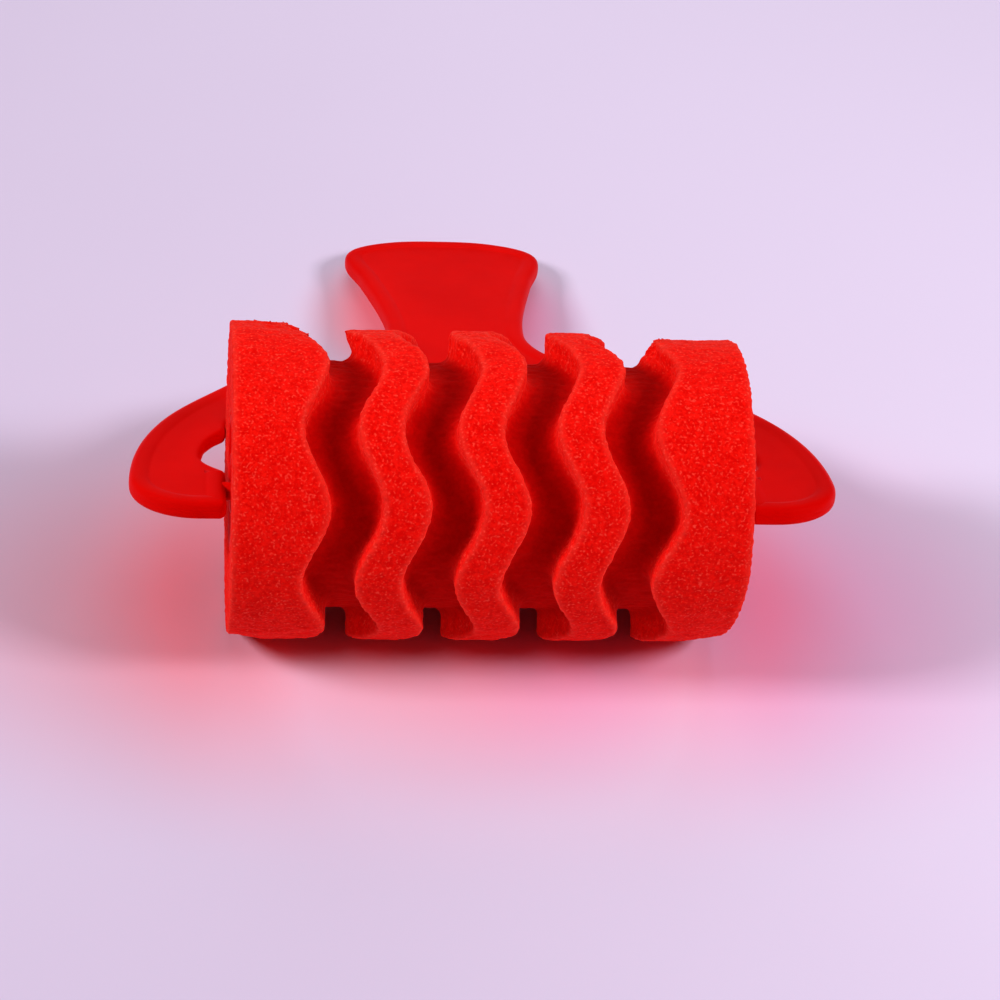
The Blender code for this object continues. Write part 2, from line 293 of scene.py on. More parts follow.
# Lights
# Two soft boxes stand on either side of the tool, both a little towards the camera, and throw its soft
# shadows left and right. A wide one behind it and one overhead fill them, and the room adds a weak light.
# Each row: place, width and power in watts.
SOFT_BOXES = {
    "left_box": ((-0.695, -0.165, 0.550), 0.21, 4.8),
    "right_box": ((0.635, -0.335, 0.550), 0.21, 4.6),
    "back_box": ((0.0, 0.849, 0.849), 0.9, 3.5),
    "top_box": ((0.0, -0.02, 1.2), 0.9, 1.6),
}
ROOM_COLOUR = (0.95, 0.93, 1.0)
ROOM_STRENGTH = 0.04
BACKDROP_COLOUR = (0.80, 0.66, 0.90)


def soft_box(name, place, size, power):
    """A square area light at a place, turned towards the middle of the tool."""
    light = bpy.data.lights.new(name, "AREA")
    light.shape = "SQUARE"
    light.size = size
    light.energy = power
    lamp = bpy.data.objects.new(name, light)
    lamp.location = place
    lamp.rotation_euler = (-Vector(place)).to_track_quat("-Z", "Y").to_euler()
    bpy.context.scene.collection.objects.link(lamp)


def room():
    """An even light, and for the camera alone a backdrop of the table's own colour."""
    world = bpy.data.worlds.new("room")
    world.use_nodes = True
    bpy.context.scene.world = world
    tree = world.node_tree
    tree.nodes.clear()
    start = Signal(tree)
    seen = start.node("ShaderNodeLightPath", output="Is Camera Ray")
    even = {"Color": (*ROOM_COLOUR, 1.0), "Strength": ROOM_STRENGTH}
    shown = {"Color": (*BACKDROP_COLOUR, 1.0), "Strength": 1.0}
    light = start.node("ShaderNodeBackground", None, even)
    backdrop = start.node("ShaderNodeBackground", None, shown)
    mixed = start.node("ShaderNodeMixShader", None, {0: seen, 1: light, 2: backdrop})
    output = tree.nodes.new("ShaderNodeOutputWorld")
    tree.links.new(mixed.socket, output.inputs["Surface"])


for box_name, (box_place, box_size, box_power) in SOFT_BOXES.items():
    soft_box(box_name, box_place, box_size, box_power)
room()


# Handle
# One injection moulding in red plastic: a flared grip, a neck, a cross-bar and two curved arms that come
# back inwards as tabs. A low rounded rim runs round its outer edge on both faces, and a parting line
# round the middle of its edge. A stub pin on each tab carries the roller.
FOAM_RADIUS = 0.0245
TAB_GAP = 0.0017
WINDOW_GAP = 0.0040
CROSSBAR_DEPTH = 0.0190
TAB = FOAM_HALF_LENGTH + TAB_GAP
WINDOW = FOAM_RADIUS + WINDOW_GAP
SHOULDER = WINDOW + CROSSBAR_DEPTH
NECK_RISE = 0.0150
NECK = SHOULDER + NECK_RISE
NECK_HALF_WIDTH = 0.0119
GRIP_HALF_WIDTH = 0.0178
GRIP_LENGTH = 0.0431
ARM_BREADTH = 0.01525
FRONT_REACH = 0.0075
TAB_CORNER = 0.0013
TAB_BACK_REACH = 0.0040
SLOT_END = 0.0038
RIM_HALF = 0.00165
EDGE_ROUND = 0.0009
PIN_RADIUS = 0.0015
PIN_LENGTH = 0.0080
PIN_CHAMFER = 0.0004
PIN_ROOT = 0.0006
PIN_CORE = 1e-5
PIN_DROP = 0.0017
PIN_SIDES = 48
OUTLINE_STEPS = 18
CORNER_SHARE = 0.96
MERGE = 1e-7
PLASTIC_RED = (0.80, 0.002, 0.001)
PLASTIC_DEEP = (0.74, 0.0007, 0.0003)
PLASTIC_BRIGHT = (0.81, 0.0016, 0.0008)

# Half of the outline: place across, place back from the pins, and heading in degrees, as in the solid. The
# rim fades out over the stretch after row 13, where the tab meets the window.
HALF_OUTLINE = [
    (0.0, NECK + GRIP_LENGTH, 0.0),
    (0.518 * GRIP_HALF_WIDTH, NECK + 0.979 * GRIP_LENGTH, -16.4),
    (GRIP_HALF_WIDTH, NECK + 0.803 * GRIP_LENGTH, -90.0),
    (0.872 * GRIP_HALF_WIDTH, NECK + 0.581 * GRIP_LENGTH, -101.6),
    (NECK_HALF_WIDTH, NECK, -90.0),
    (0.400 * TAB, SHOULDER + 0.290 * NECK_RISE, -45.0),
    (0.608 * TAB, SHOULDER - 0.03 * NECK_RISE, -24.0),
    (0.962 * TAB + 0.055 * ARM_BREADTH, 0.815 * SHOULDER, -52.0),
    (TAB + 0.566 * ARM_BREADTH, 0.562 * SHOULDER, -58.0),
    (TAB + ARM_BREADTH, 0.054 * SHOULDER, -90.0),
    (TAB + 0.289 * ARM_BREADTH, -FRONT_REACH, -180.0),
    (TAB + TAB_CORNER, -FRONT_REACH, -180.0),
    (TAB, TAB_CORNER - FRONT_REACH, -270.0),
    (TAB, TAB_BACK_REACH, 90.0),
    (TAB + 0.24 * SLOT_END, 0.213 * WINDOW, 41.0),
    (TAB + SLOT_END, 0.365 * WINDOW, 88.0),
    (TAB + 0.97 * SLOT_END, 0.445 * WINDOW, 101.0),
    (TAB + 0.72 * SLOT_END, 0.575 * WINDOW, 120.0),
    (TAB + 0.27 * SLOT_END, 0.668 * WINDOW, 133.0),
    (TAB - 0.02 * SLOT_END, 0.712 * WINDOW, 121.0),
    (TAB - 0.06 * SLOT_END, 0.775 * WINDOW, 91.0),
    (0.862 * TAB, 0.948 * WINDOW, 170.0),
    (0.0, WINDOW, 180.0),
]
RIM_FADES_AT = 13

# The section of the handle's edge, upper half, from the web outwards. Each row holds the depth in from
# the edge and the height over mid-thickness, first where the rim stands, then where there is none.
EDGE_SECTION = (
    (0.00350, 0.001300, 0.00170, 0.001300),
    (0.00334, 0.001303, 0.00160, 0.001300),
    (0.00318, 0.001320, 0.00150, 0.001300),
    (0.00302, 0.001358, 0.00140, 0.001300),
    (0.00285, 0.001418, 0.00130, 0.001299),
    (0.00266, 0.001486, 0.00120, 0.001297),
    (0.00244, 0.001550, 0.00110, 0.001293),
    (0.00218, 0.001602, 0.00100, 0.001286),
    (0.00186, 0.001638, 0.00090, 0.001273),
    (0.00150, 0.001650, 0.00080, 0.001252),
    (0.00120, 0.001640, 0.00068, 0.001218),
    (0.00096, 0.001600, 0.00056, 0.001170),
    (0.00074, 0.001530, 0.00044, 0.001105),
    (0.00054, 0.001430, 0.00033, 0.001020),
    (0.00036, 0.001290, 0.00023, 0.000905),
    (0.00021, 0.001110, 0.00014, 0.000765),
    (0.00010, 0.000880, 0.00007, 0.000600),
    (0.00004, 0.000620, 0.00003, 0.000420),
    (0.00001, 0.000340, 0.00001, 0.000250),
    (0.00000, 0.000120, 0.00000, 0.000100),
    (0.00002, 0.000050, 0.00002, 0.000050),
)


def curve_between(first, second, steps):
    """One cubic curve between two rows, its handles as long as a circular arc would need."""
    start, end = np.array(first[:2]), np.array(second[:2])
    begin_heading, end_heading = math.radians(first[2]), math.radians(second[2])
    turn = math.remainder(end_heading - begin_heading, 2.0 * math.pi)
    chord = np.linalg.norm(end - start)
    handle = chord / 3.0
    if abs(turn) > math.radians(1.0):
        handle = 4.0 / 3.0 * math.tan(abs(turn) / 4.0) * chord / (2.0 * math.sin(abs(turn) / 2.0))
    after = start + handle * np.array([math.cos(begin_heading), math.sin(begin_heading)])
    before = end - handle * np.array([math.cos(end_heading), math.sin(end_heading)])
    t = (np.arange(steps) / steps)[:, None]
    return (1 - t) ** 3 * start + 3 * (1 - t) ** 2 * t * after + 3 * (1 - t) * t**2 * before + t**3 * end


def handle_outline():
    """The closed outline, and how much of the rim stands at each of its points."""
    pairs = list(zip(HALF_OUTLINE, HALF_OUTLINE[1:]))
    half = np.concatenate([curve_between(a, b, OUTLINE_STEPS) for a, b in pairs] + [[HALF_OUTLINE[-1][:2]]])
    row = np.arange(len(half)) / OUTLINE_STEPS - RIM_FADES_AT
    rim = 0.5 + 0.5 * np.cos(math.pi * np.clip(row, 0.0, 1.0))
    mirrored = half[-2:0:-1] * np.array([-1.0, 1.0])
    return np.concatenate([half, mirrored]), np.concatenate([rim, rim[-2:0:-1]])


def distance_to(points, outline):
    """The distance from each point to the nearest side of the closed outline."""
    start = outline[None, :, :]
    along = np.roll(outline, -1, axis=0)[None, :, :] - start
    offset = points[:, None, :] - start
    share = np.clip((offset * along).sum(-1) / (along * along).sum(-1), 0.0, 1.0)
    return np.linalg.norm(offset - share[..., None] * along, axis=-1).min(axis=1)


def inward(outline, distance):
    """The outline moved inwards along its normals by a distance for each point.

    Points that come clearly closer to the outline than their distance have no room in a corner. They meet
    where the corner's two sides cross.
    """
    ahead = np.roll(outline, -1, axis=0) - np.roll(outline, 1, axis=0)
    ahead /= np.linalg.norm(ahead, axis=1)[:, None]
    moved = outline + distance[:, None] * np.stack([ahead[:, 1], -ahead[:, 0]], axis=1)
    kept = distance_to(moved, outline) > CORNER_SHARE * distance - MERGE
    count = len(outline)
    place = first = int(np.argmax(kept))
    while place < first + count:
        if kept[place % count]:
            place += 1
            continue
        end = place
        while not kept[end % count]:
            end += 1
        left, right = (place - 1) % count, end % count
        sides = np.stack([ahead[left], -ahead[right]], axis=1)
        reach = np.linalg.solve(sides, moved[right] - moved[left])[0]
        moved[np.arange(place, end) % count] = moved[left] + reach * ahead[left]
        place = end
    return moved


def sheet_faces(rows, columns, closed_rows=True):
    """Quads of a grid that closes along its columns, and along its rows if asked."""
    last = rows if closed_rows else rows - 1
    row, column = np.meshgrid(np.arange(last), np.arange(columns), indexing="ij")
    after_row, after_column = (row + 1) % rows, (column + 1) % columns
    corners = (row, column), (row, after_column), (after_row, after_column), (after_row, column)
    return np.stack([r * columns + c for r, c in corners], axis=-1).reshape(-1, 4)


def mesh_piece(name, points, faces, finish):
    """A smooth object from points and faces, with doubled points merged and its faces turned outwards."""
    mesh = bpy.data.meshes.new(name)
    mesh.from_pydata(points.tolist(), [], [tuple(face) for face in faces])
    mesh.validate()
    work = bmesh.new()
    work.from_mesh(mesh)
    bmesh.ops.remove_doubles(work, verts=work.verts, dist=MERGE)
    bmesh.ops.recalc_face_normals(work, faces=work.faces)
    work.to_mesh(mesh)
    work.free()
    mesh.shade_smooth()
    mesh.materials.append(finish)
    piece = bpy.data.objects.new(name, mesh)
    bpy.context.scene.collection.objects.link(piece)
    return piece


def web_face(loop):
    """The flat face inside a loop, cut into triangles: its points and its faces."""
    apart = np.linalg.norm(loop - np.roll(loop, 1, axis=0), axis=1) > 10.0 * MERGE
    ring = loop[apart]
    count = len(ring)
    edges = [(step, (step + 1) % count) for step in range(count)]
    found = geometry.delaunay_2d_cdt([Vector(point[:2]) for point in ring], edges, [], 1, MERGE)
    flat = np.array([tuple(point) for point in found[0]])
    return np.column_stack([flat, np.full(len(flat), ring[0][2])]), [tuple(face) for face in found[2]]


def turned_points(profile, sides):
    """A closed profile of (place along X, radius) carried round the X axis."""
    angle = 2.0 * math.pi * np.arange(sides)[:, None] / sides
    along, radius = np.array(profile).T
    x = np.broadcast_to(along, (sides, len(profile)))
    return np.stack([x, radius * np.cos(angle), radius * np.sin(angle)], axis=-1).reshape(-1, 3)


def pin_points(side):
    """A stub pin, its root inside the tab and a small chamfer at its tip."""
    root, tip = TAB + PIN_ROOT, TAB - PIN_LENGTH
    profile = [
        (side * root, PIN_CORE),
        (side * root, PIN_RADIUS),
        (side * (tip + PIN_CHAMFER), PIN_RADIUS),
        (side * (tip + 0.3 * PIN_CHAMFER), PIN_RADIUS - 0.3 * PIN_CHAMFER),
        (side * tip, PIN_RADIUS - PIN_CHAMFER),
        (side * tip, PIN_CORE),
    ]
    return turned_points(profile, PIN_SIDES), sheet_faces(PIN_SIDES, len(profile))


def handle_slope():
    """The slope at which the lower edge of the grip's end just meets the table."""
    reach = NECK + GRIP_LENGTH - EDGE_ROUND
    return math.asin((FOAM_RADIUS - PIN_DROP) / math.hypot(reach, RIM_HALF)) - math.atan2(RIM_HALF, reach)


def handle_points():
    """The section's rows carried along the outline, the two webs and the pins, in the handle's plane."""
    outline, rim = handle_outline()
    loops = []
    for rim_depth, rim_height, plain_depth, plain_height in EDGE_SECTION:
        loop = inward(outline, rim * rim_depth + (1.0 - rim) * plain_depth)
        loops.append(np.column_stack([loop, rim * rim_height + (1.0 - rim) * plain_height]))
    loops += [loop * np.array([1.0, 1.0, -1.0]) for loop in reversed(loops)]
    edge = np.concatenate(loops), sheet_faces(len(loops), len(outline), closed_rows=False)
    groups = edge, web_face(loops[0]), web_face(loops[-1]), pin_points(-1), pin_points(1)
    points, faces, used = [], [], 0
    for group_points, group_faces in groups:
        points.append(group_points)
        faces += [tuple(int(corner) + used for corner in face) for face in group_faces]
        used += len(group_points)
    return np.concatenate(points), faces


def red_plastic():
    """Red moulded plastic, satin, with a fine grain from the mould and a slightly cloudy colour."""
    finish, shader, start = finish_of(
        "red_plastic", PLASTIC_RED, 0.50, Specular_IOR_Level=0.03, Specular_Tint=(1.0, 0.12, 0.10, 1.0)
    )
    place = start.node("ShaderNodeTexCoord", output="Object")
    cloud = place.noise(70.0, 3.0)
    grain = place.noise(2600.0, 2.0)
    wear = place.noise(380.0, 4.0)
    colour = cloud.between(0.3, 0.7).tint(PLASTIC_DEEP, PLASTIC_BRIGHT)
    roughness = 0.45 + 0.06 * wear + 0.05 * cloud
    height = grain * 0.6 + wear * 0.4
    bump = start.node("ShaderNodeBump", None, {"Height": height, "Strength": 0.25, "Distance": 0.00004})
    wire(start, shader, Base_Color=colour, Roughness=roughness, Normal=bump)
    return finish


plastic = red_plastic()
flat_points, handle_faces = handle_points()
slope = handle_slope()
cosine, sine = math.cos(slope), math.sin(slope)
tilt = np.array([[1.0, 0.0, 0.0], [0.0, cosine, sine], [0.0, -sine, cosine]])
pin_place = np.array([0.0, AXLE[1], AXLE[2] - PIN_DROP])
handle = mesh_piece("handle", flat_points @ tilt.T + pin_place, handle_faces, plastic)
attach(handle, "handle")
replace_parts(handle, "handle_frame")


# Foam sleeve
# Open-cell foam, cut from a sheet, with four wavy grooves routed to a rounded floor. It is wrapped round
# the core and glued at a straight seam on its upper back, where the edges of the ridges are torn.
GROOVE_DEPTH = 0.0051
GROOVE_WIDTH = 0.0078
RIDGE_WIDTH = 0.0074
GROOVE_COUNT = 4
WAVE_HEIGHT = 0.0020
WAVE_COUNT = 6
WAVE_START_DEG = 28.0
WALL_WANDER = 0.00008
GROOVE_FILLET = 0.0018
RIDGE_EDGE = 0.0007
END_EDGE = 0.0005
SLEEVE_BORE = 0.0113
BORE_SKIN = 0.0005
SEAM_DEG = 118.0
SEAM_DIP = 0.00030
SEAM_FADE_DEG = (0.2, 1.1)

# The skin's unevenness: slow waves, and cells, which are rougher in the frayed band at the ridges' edges.
# The limits are in standard deviations of their noise.
WAVE_ROUGHNESS = 0.00006
WAVE_LIMIT = 1.5
CELL_ROUGHNESS = 0.00005
EDGE_ROUGHNESS = 0.00008
CELL_LIMIT = 2.0
# The frayed band at the ridges' edges. It is rougher, and the finish paints it paler as painted rim light.
FRAY_AND_RIM_LIGHT_BELOW = 0.0016
FRAY_AND_RIM_LIGHT_ABOVE = 0.0009

# How many times each noise is averaged with its neighbours.
WANDER_BLUR = 60
WAVE_BLUR = 40
JAG_BLUR = 2
CELL_BLUR = 1

# How finely the sleeve's grid is cut: rows round the axis, and columns in each part of its section.
SLEEVE_ROWS = 480
FACE_STEPS = 26
OUTER_RIDGE_STEPS = 26
RIDGE_STEPS = 14
EDGE_STEPS = 4
WALL_STEPS = 6
FILLET_STEPS = 9
FLOOR_STEPS = 8

# Tears near the seam. Each row: groove, side of it (0 left, 1 right), middle in degrees, half width in
# degrees, depth into the ridge. A negative depth is a flap that hangs over the groove. A tear is deepest
# over the share TEAR_FULL of its half width, and ends between two shares of the groove's depth.
TEARS = (
    (0, 0, 132.0, 27.0, 0.0027),
    (0, 1, 108.0, 13.0, 0.0005),
    (0, 1, 118.0, 8.0, -0.0010),
    (1, 0, 112.0, 12.0, 0.0004),
    (1, 1, 110.0, 12.0, 0.0004),
    (2, 0, 118.0, 9.0, 0.0008),
    (2, 1, 108.0, 12.0, 0.0004),
    (3, 0, 112.0, 16.0, 0.0008),
    (3, 1, 124.0, 24.0, 0.0023),
)
TEAR_FULL = 0.45
TEAR_FADE = (0.8, 0.1)
JAG_MEAN = 0.9
JAG_SPREAD = 0.2

# Uneven places of the cut sleeve. Each row: place along X, half width along X, middle in degrees, half
# width in degrees, and how far the foam stands out there.
SWELLS = (
    (-FOAM_HALF_LENGTH, 0.0220, 125.0, 60.0, 0.0012),
    (0.0350, 0.0240, 125.0, 50.0, -0.0008),
    (-FOAM_HALF_LENGTH, 0.0060, -53.0, 50.0, -0.0007),
    (FOAM_HALF_LENGTH, 0.0080, -50.0, 50.0, -0.0009),
)

# Where the knife has left the right end uneven. Each row: middle in degrees, half width in degrees, and
# how far the end stands out. The left end stands out a little all round. Both are level again at the bore.
END_CUTS = (
    (60.0, 130.0, 0.0004),
    (-50.0, 50.0, -0.0007),
)
CUT_FULL = 0.3
LEFT_END_OUT = 0.00032
END_FADE = 0.0060

FOAM_RED = (0.84, 0.004, 0.002)
FOAM_DEEP = (0.82, 0.001, 0.0005)
FOAM_BRIGHT = (0.99, 0.006, 0.003)
# Pale colour of the painted highlights and the painted rim light.
FOAM_PALE = (1.0, 0.050, 0.032)
# Colours of the painted shade on the grooves' lower walls and floors.
GROOVE_SHADE_DEEP = (0.50, 0.0004, 0.0004)
GROOVE_SHADE_BRIGHT = (0.58, 0.0008, 0.0006)
GLINT_PINK = (1.0, 0.62, 0.60)
THREADS_PER_METRE = 1000.0


def smooth_step(value, low, high):
    """0 below low, 1 above high, a cubic rise between them."""
    share = np.clip((value - low) / (high - low), 0.0, 1.0)
    return share * share * (3.0 - 2.0 * share)


def sleeve_section():
    """The sleeve's section as columns: the wall it follows, its share of the way to the next, and more.

    The walls are counted from the left end: end, groove 1 left, groove 1 right, and so on to the right
    end. A column lies at (1 - share) of its wall plus share of the next, plus an offset, at a radius.
    """
    top, floor = FOAM_RADIUS, FOAM_RADIUS - GROOVE_DEPTH
    hollow = floor + GROOVE_FILLET
    last = 2 * GROOVE_COUNT + 1
    columns = []

    def line(wall, share, offset, radius, steps):
        """Even steps from the first share, offset and radius towards the second, which is left out."""
        t = np.arange(steps) / steps
        values = [a + (b - a) * t for a, b in (share, offset, radius)]
        columns.append(np.stack([np.full(steps, float(wall)), *values], axis=1))

    def corner(wall, offset, radius, size, heading, turn, steps):
        """An arc about (offset, radius), from a heading by a turn in degrees, its end left out."""
        angle = np.radians(heading + turn * np.arange(steps) / steps)
        values = [offset + size * np.cos(angle), radius + size * np.sin(angle)]
        columns.append(np.stack([np.full(steps, float(wall)), np.zeros(steps), *values], axis=1))

    line(0, (0, 0), (0, 0), (SLEEVE_BORE, top - END_EDGE), FACE_STEPS)
    corner(0, END_EDGE, top - END_EDGE, END_EDGE, 180.0, -90.0, EDGE_STEPS)
    for groove in range(GROOVE_COUNT + 1):
        left, right = 2 * groove, 2 * groove + 1
        begin = END_EDGE if groove == 0 else RIDGE_EDGE
        end = -END_EDGE if groove == GROOVE_COUNT else -RIDGE_EDGE
        steps = OUTER_RIDGE_STEPS if groove in (0, GROOVE_COUNT) else RIDGE_STEPS
        line(left, (0, 1), (begin, end), (top, top), steps)
        if groove == GROOVE_COUNT:
            break
        corner(right, -RIDGE_EDGE, top - RIDGE_EDGE, RIDGE_EDGE, 90.0, -90.0, EDGE_STEPS)
        line(right, (0, 0), (0, 0), (top - RIDGE_EDGE, hollow), WALL_STEPS)
        corner(right, GROOVE_FILLET, hollow, GROOVE_FILLET, 180.0, 90.0, FILLET_STEPS)
        line(right, (0, 1), (GROOVE_FILLET, -GROOVE_FILLET), (floor, floor), FLOOR_STEPS)
        corner(right + 1, -GROOVE_FILLET, hollow, GROOVE_FILLET, 270.0, 90.0, FILLET_STEPS)
        line(right + 1, (0, 0), (0, 0), (hollow, top - RIDGE_EDGE), WALL_STEPS)
        corner(right + 1, RIDGE_EDGE, top - RIDGE_EDGE, RIDGE_EDGE, 180.0, -90.0, EDGE_STEPS)
    corner(last, -END_EDGE, top - END_EDGE, END_EDGE, 90.0, -90.0, EDGE_STEPS)
    line(last, (0, 0), (0, 0), (top - END_EDGE, SLEEVE_BORE), FACE_STEPS)
    line(last, (0, 0), (0, 0), (SLEEVE_BORE, SLEEVE_BORE), 1)
    return np.concatenate(columns)


def blurred(field, times):
    """A grid averaged with its neighbours both ways, wrapped at its edges."""
    for _ in range(times):
        for axis in (0, 1):
            field = 0.5 * field + 0.25 * (np.roll(field, 1, axis) + np.roll(field, -1, axis))
    return field


def turn_apart(angle, middle):
    """How many degrees lie between the angles and a middle, the short way round."""
    return np.abs((np.degrees(angle) - middle + 180.0) % 360.0 - 180.0)


def window(angle, middle, half_width, full):
    """1 round a middle over the share full of a half width in degrees, and a smooth step down to 0."""
    return 1.0 - smooth_step(turn_apart(angle, middle), full * half_width, half_width)


def wall_places(angle, rng):
    """Where the ends and the walls of the grooves lie along X for each angle, and how deep they are torn.

    A wall follows a cosine with six waves in a turn and wanders a little. Its tear is a smooth window, and
    so is a cut of the right end.
    """
    pitch = GROOVE_WIDTH + RIDGE_WIDTH
    wave = WAVE_HEIGHT * np.cos(WAVE_COUNT * (angle - math.radians(WAVE_START_DEG)))
    walls, tears = [np.full_like(angle, -FOAM_HALF_LENGTH - LEFT_END_OUT)], [np.zeros_like(angle)]
    for groove in range(GROOVE_COUNT):
        for side in (0, 1):
            middle = (groove - (GROOVE_COUNT - 1) / 2.0) * pitch
            wander = blurred(rng.normal(size=(len(angle), 1)), WANDER_BLUR)[:, 0]
            walls.append(middle + (side - 0.5) * GROOVE_WIDTH + wave + WALL_WANDER * wander / wander.std())
            tear = np.zeros_like(angle)
            for torn_groove, torn_side, centre, half_width, depth in TEARS:
                if (torn_groove, torn_side) == (groove, side):
                    tear += (1 if side else -1) * depth * window(angle, centre, half_width, TEAR_FULL)
            tears.append(tear)
    right_end = np.full_like(angle, FOAM_HALF_LENGTH)
    for centre, half_width, out in END_CUTS:
        right_end += out * window(angle, centre, half_width, CUT_FULL)
    walls.append(right_end)
    tears.append(np.zeros_like(angle))
    return np.stack(walls, axis=1), np.stack(tears, axis=1)


def sleeve_points():
    """The section carried round the axis, with its tears, swells and cells: points, groove depth and fray.

    A tear moves a wall by its depth times a jagged noise, and fades towards the groove's floor. What stands
    out past the sleeve's length fades towards its bore. A swell is a smooth hump of the radius. Slow waves
    and the cells push every point in along its radius and its normal by a noise. The cells push more on
    the edges that the knife has left frayed, and the glued seam is a narrow dip.
    """
    rng = np.random.default_rng(7)
    angle = math.radians(SEAM_DEG) + 2.0 * math.pi * np.arange(SLEEVE_ROWS) / SLEEVE_ROWS
    walls, tears = wall_places(angle, rng)
    wall, share, offset, radius = sleeve_section().T
    wall = wall.astype(int)
    last = walls.shape[1] - 1
    after = np.minimum(wall + 1, last)
    along = (1.0 - share) * walls[:, wall] + share * walls[:, after] + offset

    jag = blurred(rng.normal(size=along.shape), JAG_BLUR)
    jag = np.clip(JAG_MEAN + JAG_SPREAD * jag / jag.std(), 0.0, 2.0 * JAG_MEAN)
    tear = (1.0 - share) * tears[:, wall] + share * tears[:, after]
    fade_from, fade_to = (FOAM_RADIUS - part * GROOVE_DEPTH for part in TEAR_FADE)
    along += tear * jag * smooth_step(radius, fade_from, fade_to)
    inside = np.clip(along, -FOAM_HALF_LENGTH, FOAM_HALF_LENGTH)
    along = inside + (along - inside) * smooth_step(radius, SLEEVE_BORE, FOAM_RADIUS - END_FADE)

    radius = np.broadcast_to(radius, along.shape).copy()
    at_end = (share == 0.0) & ((wall == 0) | (wall == last))
    depth = np.where(at_end, 0.0, (FOAM_RADIUS - radius) / GROOVE_DEPTH)
    outer = radius > SLEEVE_BORE + BORE_SKIN
    slow = blurred(rng.normal(size=along.shape), WAVE_BLUR)
    rise = WAVE_ROUGHNESS * (np.minimum(slow / slow.std(), WAVE_LIMIT) - WAVE_LIMIT)
    for place, reach, middle, half_width, height in SWELLS:
        round_window = window(angle, middle, half_width, 0.0)[:, None]
        rise += height * round_window * (1.0 - smooth_step(np.abs(along - place), 0.0, reach))
    radius += outer * rise * (radius - SLEEVE_BORE) / (FOAM_RADIUS - SLEEVE_BORE)

    points = np.stack([along, -radius * np.cos(angle)[:, None], radius * np.sin(angle)[:, None]], axis=-1)
    ahead = np.roll(points, -1, axis=1) - np.roll(points, 1, axis=1)
    round_step = np.roll(points, -1, axis=0) - np.roll(points, 1, axis=0)
    normal = np.cross(ahead, round_step)
    normal /= np.linalg.norm(normal, axis=-1)[..., None] + 1e-12
    cells = blurred(rng.normal(size=along.shape), CELL_BLUR)
    cells = np.clip(cells / cells.std(), -CELL_LIMIT, CELL_LIMIT)
    on_edge = (share == 0.0) & (offset != 0.0)
    fray_and_rim_light = 1.0 * (on_edge & (radius > FOAM_RADIUS - FRAY_AND_RIM_LIGHT_BELOW) & (radius < FOAM_RADIUS + FRAY_AND_RIM_LIGHT_ABOVE))
    roughness = CELL_ROUGHNESS + (EDGE_ROUGHNESS - CELL_ROUGHNESS) * fray_and_rim_light
    # The softened band is kept for the finish, which paints it paler as painted rim light.
    fray_and_rim_light = 0.5 * fray_and_rim_light + 0.25 * (np.roll(fray_and_rim_light, 1, axis=1) + np.roll(fray_and_rim_light, -1, axis=1))
    seam_dip = SEAM_DIP * (1.0 - smooth_step(turn_apart(angle, SEAM_DEG), *SEAM_FADE_DEG))[:, None] * outer
    push = outer * roughness * (cells - CELL_LIMIT) - seam_dip
    return points + normal * push[..., None] + AXLE, np.clip(depth, 0.0, 1.0), fray_and_rim_light


def red_foam():
    """Red open-cell foam: cut cells about half a millimetre wide, paler where a strut catches the light.

    The floors of the grooves are smoother, and painted deeper in colour as painted shade in the grooves. A
    few cut threads glint.
    """
    finish, shader, start = finish_of(
        "red_foam",
        FOAM_RED,
        0.95,
        Specular_IOR_Level=0.10,
        Specular_Tint=(1.0, 0.15, 0.10, 1.0),
        Sheen_Weight=0.20,
        Sheen_Roughness=0.5,
        Sheen_Tint=(1.0, 0.16, 0.11, 1.0),
        Subsurface_Weight=0.30,
        Subsurface_Radius=(1.0, 0.06, 0.04),
        Subsurface_Scale=0.0025,
    )
    place = start.node("ShaderNodeTexCoord", output="Object")
    depth = start.node("ShaderNodeAttribute", {"attribute_name": "groove_depth"}, output="Fac")
    fray_and_rim_light = start.node("ShaderNodeAttribute", {"attribute_name": "fray_and_rim_light"}, output="Fac")
    grain = place.noise(1800.0, 1.5, Roughness=0.6)
    speck = place.noise(2500.0, 0.5)
    patch = place.noise(650.0, 2.0)
    strut = (grain * 0.6 + patch * 0.4).between(0.36, 0.64)
    # Painted highlights: the pale specks, and the band at the ridges' frayed edges as painted rim light,
    # are mixed towards FOAM_PALE.
    shine = speck.between(0.54, 0.84) + 0.36 * fray_and_rim_light
    top = shine.tint(strut.tint(FOAM_DEEP, FOAM_BRIGHT), FOAM_PALE)
    # Painted shade: the lower part of the grooves' walls and their floors are painted a darker red.
    colour = depth.between(0.55, 1.0).tint(top, strut.tint(GROOVE_SHADE_DEEP, GROOVE_SHADE_BRIGHT))
    threads = {"Vector": place, "Scale": THREADS_PER_METRE}
    centre = start.node("ShaderNodeTexVoronoi", None, threads, output="Distance")
    chance = start.node("ShaderNodeTexVoronoi", None, threads, output="Color")
    few = chance.between(0.975, 0.985) * (1.0 - depth.between(0.1, 0.4))
    colour = ((1.0 - centre.between(0.10, 0.22)) * few).tint(colour, GLINT_PINK)
    height = (grain * 0.7 + speck * 0.5) * (1.0 - 0.8 * depth.between(0.3, 0.9))
    bump = start.node("ShaderNodeBump", None, {"Height": height, "Strength": 0.26, "Distance": 0.0002})
    wire(start, shader, Base_Color=colour, Normal=bump)
    return finish


